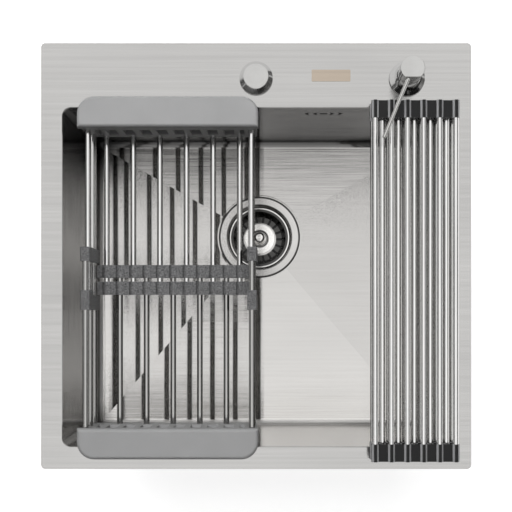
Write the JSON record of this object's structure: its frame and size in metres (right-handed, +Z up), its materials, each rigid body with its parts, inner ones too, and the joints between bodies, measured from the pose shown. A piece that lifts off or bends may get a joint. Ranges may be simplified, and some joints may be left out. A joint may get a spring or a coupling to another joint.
{
  "type": "drop-in kitchen sink with accessories",
  "caption": "Square drop-in steel kitchen sink bowl with basket strainer, overflow, soap dispenser, telescopic colander and rolled drainer mat.",
  "frame": {"origin": "centre of the deck's outline, in the plane of the deck's underside, which rests on the worktop", "axes": "+X to the user's right, +Y to the back where the tap stands, +Z up"},
  "size_m": [0.5, 0.495, 0.3383],
  "materials": {
    "brushed_steel": "brushed",
    "rose_metal": "satin",
    "zinc_steel": "satin",
    "pressed_steel": "satin",
    "polished_steel": "polished",
    "steel_tube": "satin",
    "grey_plastic": "satin",
    "dark_grey_plastic": "matte",
    "black_silicone": "matte",
    "black_rubber": "matte",
    "black_plastic": "satin",
    "white_plastic": "satin",
    "band_steel": "satin",
    "bottle_plastic": "translucent"
  },
  "bodies": {
    "sink": {"deck_plate": "brushed_steel", "bowl": "brushed_steel", "overflow_housing": "brushed_steel", "badge_plate": "rose_metal", "clamp_brackets": "zinc_steel", "clamp_arms": "zinc_steel", "clamp_screws": "zinc_steel", "cover_stud": "zinc_steel", "cover_bridge": "zinc_steel", "cover_wing_nut": "zinc_steel", "waste_bolt": "zinc_steel", "waste_bolt_nut": "zinc_steel", "pump_spring": "zinc_steel", "strainer_cup": "pressed_steel", "tap_hole_cover": "polished_steel", "dispenser_base": "polished_steel", "flange_seal": "black_rubber", "waste_gasket": "black_rubber", "cover_gasket": "black_rubber", "dispenser_washer": "black_rubber", "sound_dampers": "black_rubber", "edge_tape": "black_rubber", "waste_body": "black_plastic", "overflow_pipe": "black_plastic", "dispenser_shank": "black_plastic", "dispenser_nut": "black_plastic", "pump_cylinder": "white_plastic", "pump_guide": "white_plastic", "dip_tube": "white_plastic", "pipe_bands": "band_steel", "pump_check_ball": "band_steel", "dispenser_bottle": "bottle_plastic"},
    "colander_rear": {"colander_rear_end": "grey_plastic", "colander_rear_rods": "steel_tube", "colander_rear_rails": "steel_tube", "colander_rear_comb": "dark_grey_plastic", "colander_rear_clips": "dark_grey_plastic"},
    "colander_front": {"colander_front_end": "grey_plastic", "colander_front_rods": "steel_tube", "colander_front_rails": "steel_tube", "colander_front_comb": "dark_grey_plastic", "colander_front_clips": "dark_grey_plastic"},
    "rolled_mat": {"mat_tubes": "steel_tube", "mat_front_strip": "black_silicone", "mat_rear_strip": "black_silicone"},
    "strainer_basket": {"basket": "pressed_steel", "basket_cap": "pressed_steel", "basket_knob": "polished_steel", "basket_stopper": "black_rubber"},
    "pump_plunger": {"pump_piston": "white_plastic"},
    "pump_head": {"dispenser_head": "polished_steel", "dispenser_spout": "polished_steel"}
  },
  "joints": [
    {"name": "colander_slide", "type": "slide", "parent": "sink", "child": "colander_rear", "axis": [1, 0, 0], "range_m": [-0.015, 0.06]},
    {"name": "colander_extend", "type": "slide", "parent": "colander_rear", "child": "colander_front", "axis": [0, 1, 0], "range_m": [-0.0043, 0.13]},
    {"name": "mat_slide", "type": "slide", "parent": "sink", "child": "rolled_mat", "axis": [1, 0, 0], "range_m": [-0.06, 0.015]},
    {"name": "basket_lift", "type": "slide", "parent": "sink", "child": "strainer_basket", "axis": [0, 0, 1], "range_m": [0, 0.06]},
    {"name": "pump_press", "type": "slide", "parent": "sink", "child": "pump_plunger", "axis": [0, 0, -1], "range_m": [0, 0.01], "stiffness_N_per_m": 600, "springref_m": -0.008, "deforming": ["pump_spring"]},
    {"name": "spout_swivel", "type": "hinge", "parent": "pump_plunger", "child": "pump_head", "pos_m": [0.1749, 0.2056, 0.0435], "axis": [0, 0, 1], "continuous": true}
  ]
}
